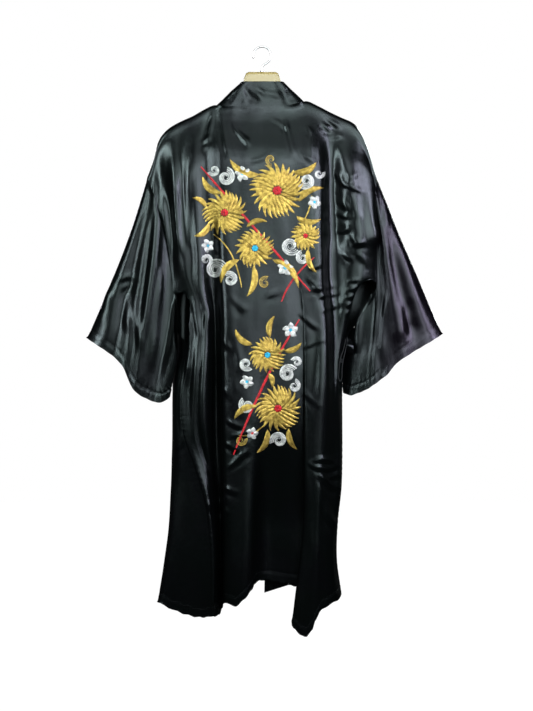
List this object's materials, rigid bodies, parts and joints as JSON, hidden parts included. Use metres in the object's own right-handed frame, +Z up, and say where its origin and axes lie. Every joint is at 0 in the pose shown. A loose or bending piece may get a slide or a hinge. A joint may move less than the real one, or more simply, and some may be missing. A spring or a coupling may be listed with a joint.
{
  "type": "haori on a hanger",
  "caption": "Long unlined satin haori with wide sleeves, open underarms and a long collar band, hanging on a flat wooden clothes hanger.",
  "frame": {"origin": "inside crown of the hanger's hook, where it rests on a rail", "axes": "+Z up along the hanging robe, +Y from the robe's back towards its open front, +X along the hanger's arms"},
  "size_m": [0.8044, 0.1262, 1.3154],
  "materials": {
    "black_satin": "smooth satin",
    "pale_wood": "clear varnish",
    "bright_steel": "plated wire"
  },
  "bodies": {
    "root": {"back_panel": "black_satin", "front_panel_left": "black_satin", "front_panel_right": "black_satin", "sleeve_left": "black_satin", "sleeve_right": "black_satin", "neck_band": "black_satin", "belt_loop": "black_satin", "side_tie": "black_satin", "hanger_board": "pale_wood", "hanger_hook": "bright_steel"}
  },
  "joints": []
}
